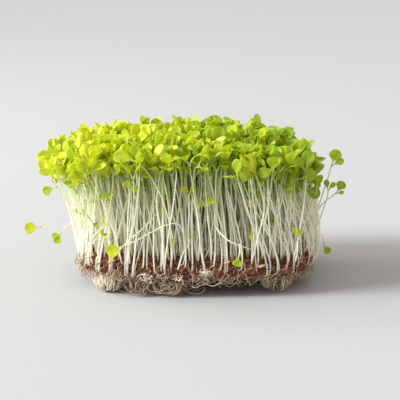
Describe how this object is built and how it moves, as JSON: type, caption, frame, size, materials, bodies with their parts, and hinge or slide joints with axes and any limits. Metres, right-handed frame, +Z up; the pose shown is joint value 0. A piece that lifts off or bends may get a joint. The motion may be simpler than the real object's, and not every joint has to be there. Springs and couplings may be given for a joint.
{
  "type": "microgreens tray",
  "caption": "Rectangular block of densely sown microgreens on a coir growing mat, lifted out of its tray and standing on its matted roots.",
  "frame": {"origin": "middle of the whole block's footprint, on the surface that its root feet stand on", "axes": "+X to the viewer's right along the long side, +Y away from the viewer, +Z up along the stems"},
  "size_m": [0.2048, 0.1338, 0.0924],
  "materials": {
    "coir": "rough, fibrous and damp",
    "root": "matte matted fibres",
    "stem": "smooth, slightly translucent",
    "leaf": "satin leaf",
    "seedling": "satin leaf on a pale stem"
  },
  "bodies": {
    "root": {"coir_mat": "coir", "root_layer": "root", "root_foot_front_left": "root", "root_foot_front_right": "root", "root_foot_back_left": "root", "root_foot_back_right": "root", "root_curl_front": "root", "stems_1_1": "stem", "stems_1_2": "stem", "stems_1_3": "stem", "stems_1_4": "stem", "stems_1_5": "stem", "stems_2_1": "stem", "stems_2_2": "stem", "stems_2_3": "stem", "stems_2_4": "stem", "stems_2_5": "stem", "stems_3_1": "stem", "stems_3_2": "stem", "stems_3_3": "stem", "stems_3_4": "stem", "stems_3_5": "stem", "stems_4_1": "stem", "stems_4_2": "stem", "stems_4_3": "stem", "stems_4_4": "stem", "stems_4_5": "stem", "leaves_1_1": "leaf", "leaves_1_2": "leaf", "leaves_1_3": "leaf", "leaves_1_4": "leaf", "leaves_1_5": "leaf", "leaves_2_1": "leaf", "leaves_2_2": "leaf", "leaves_2_3": "leaf", "leaves_2_4": "leaf", "leaves_2_5": "leaf", "leaves_3_1": "leaf", "leaves_3_2": "leaf", "leaves_3_3": "leaf", "leaves_3_4": "leaf", "leaves_3_5": "leaf", "leaves_4_1": "leaf", "leaves_4_2": "leaf", "leaves_4_3": "leaf", "leaves_4_4": "leaf", "leaves_4_5": "leaf", "stray_far_left": "seedling", "stray_left_high": "seedling", "stray_left_pair": "seedling", "stray_left_back": "seedling", "stray_left_low": "seedling", "stray_front_left": "seedling", "stray_front_fallen": "seedling", "stray_front_drop": "seedling", "stray_right_high": "seedling", "stray_right_mid": "seedling", "stray_right_sprout": "seedling", "stray_right_low": "seedling"}
  },
  "joints": []
}
